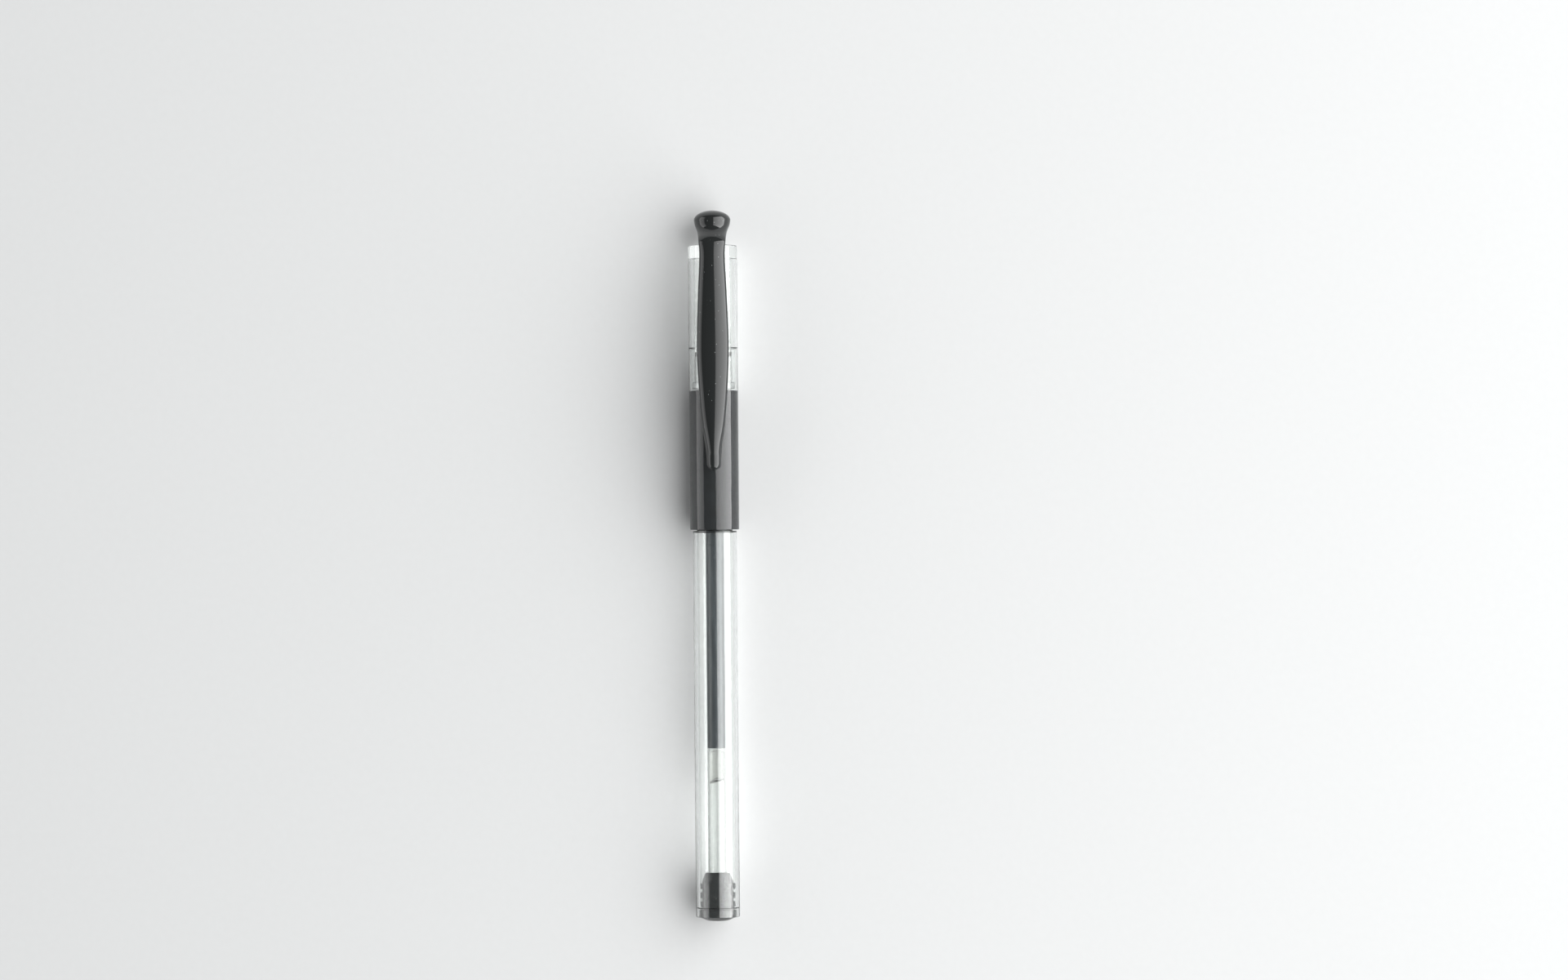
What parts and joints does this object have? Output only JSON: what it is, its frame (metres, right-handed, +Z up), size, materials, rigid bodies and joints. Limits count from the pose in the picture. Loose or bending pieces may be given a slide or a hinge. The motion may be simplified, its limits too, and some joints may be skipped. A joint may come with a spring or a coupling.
{
  "type": "fabric marking pen",
  "caption": "Capped gel-ink fabric marking pen with a clear barrel and cap, a black rubber grip, a black clip and a replaceable refill.",
  "frame": {"origin": "centre of the pen's length and width, on the surface that it lies on", "axes": "+Y along the pen towards the domed head, +Z up through the clip, +X to the right of the clip"},
  "size_m": [0.0104, 0.1499, 0.0129],
  "materials": {
    "clear_plastic": "gloss",
    "black_plastic": "gloss",
    "grip_rubber": "matte",
    "refill_plastic": "satin",
    "gel_ink": "gloss",
    "grease": "gloss",
    "point_metal": "satin",
    "seal_rubber": "matte"
  },
  "bodies": {
    "barrel": {"barrel": "clear_plastic", "rubber_grip": "grip_rubber", "end_plug": "black_plastic"},
    "front": {"nose_cone": "clear_plastic", "refill_tube": "refill_plastic", "ink_column": "gel_ink", "grease_follower": "grease", "tip_adapter": "refill_plastic", "tip_point": "point_metal", "writing_ball": "point_metal"},
    "cap": {"cap_tube": "clear_plastic", "clip_head": "black_plastic", "tip_seal": "seal_rubber"},
    "clip": {"clip_arm": "black_plastic"}
  },
  "joints": [
    {"name": "front_unscrew", "type": "slide", "parent": "barrel", "child": "front", "axis": [0, 1, 0], "range_m": [0, 0.115]},
    {"name": "cap_pull", "type": "slide", "parent": "front", "child": "cap", "axis": [0, 1, 0], "range_m": [0, 0.06]},
    {"name": "clip_flex", "type": "hinge", "parent": "cap", "child": "clip", "pos_m": [0, 0.06725, 0.012], "axis": [-1, 0, 0], "range_deg": [0, 4], "stiffness_Nm_per_rad": 1.5}
  ]
}
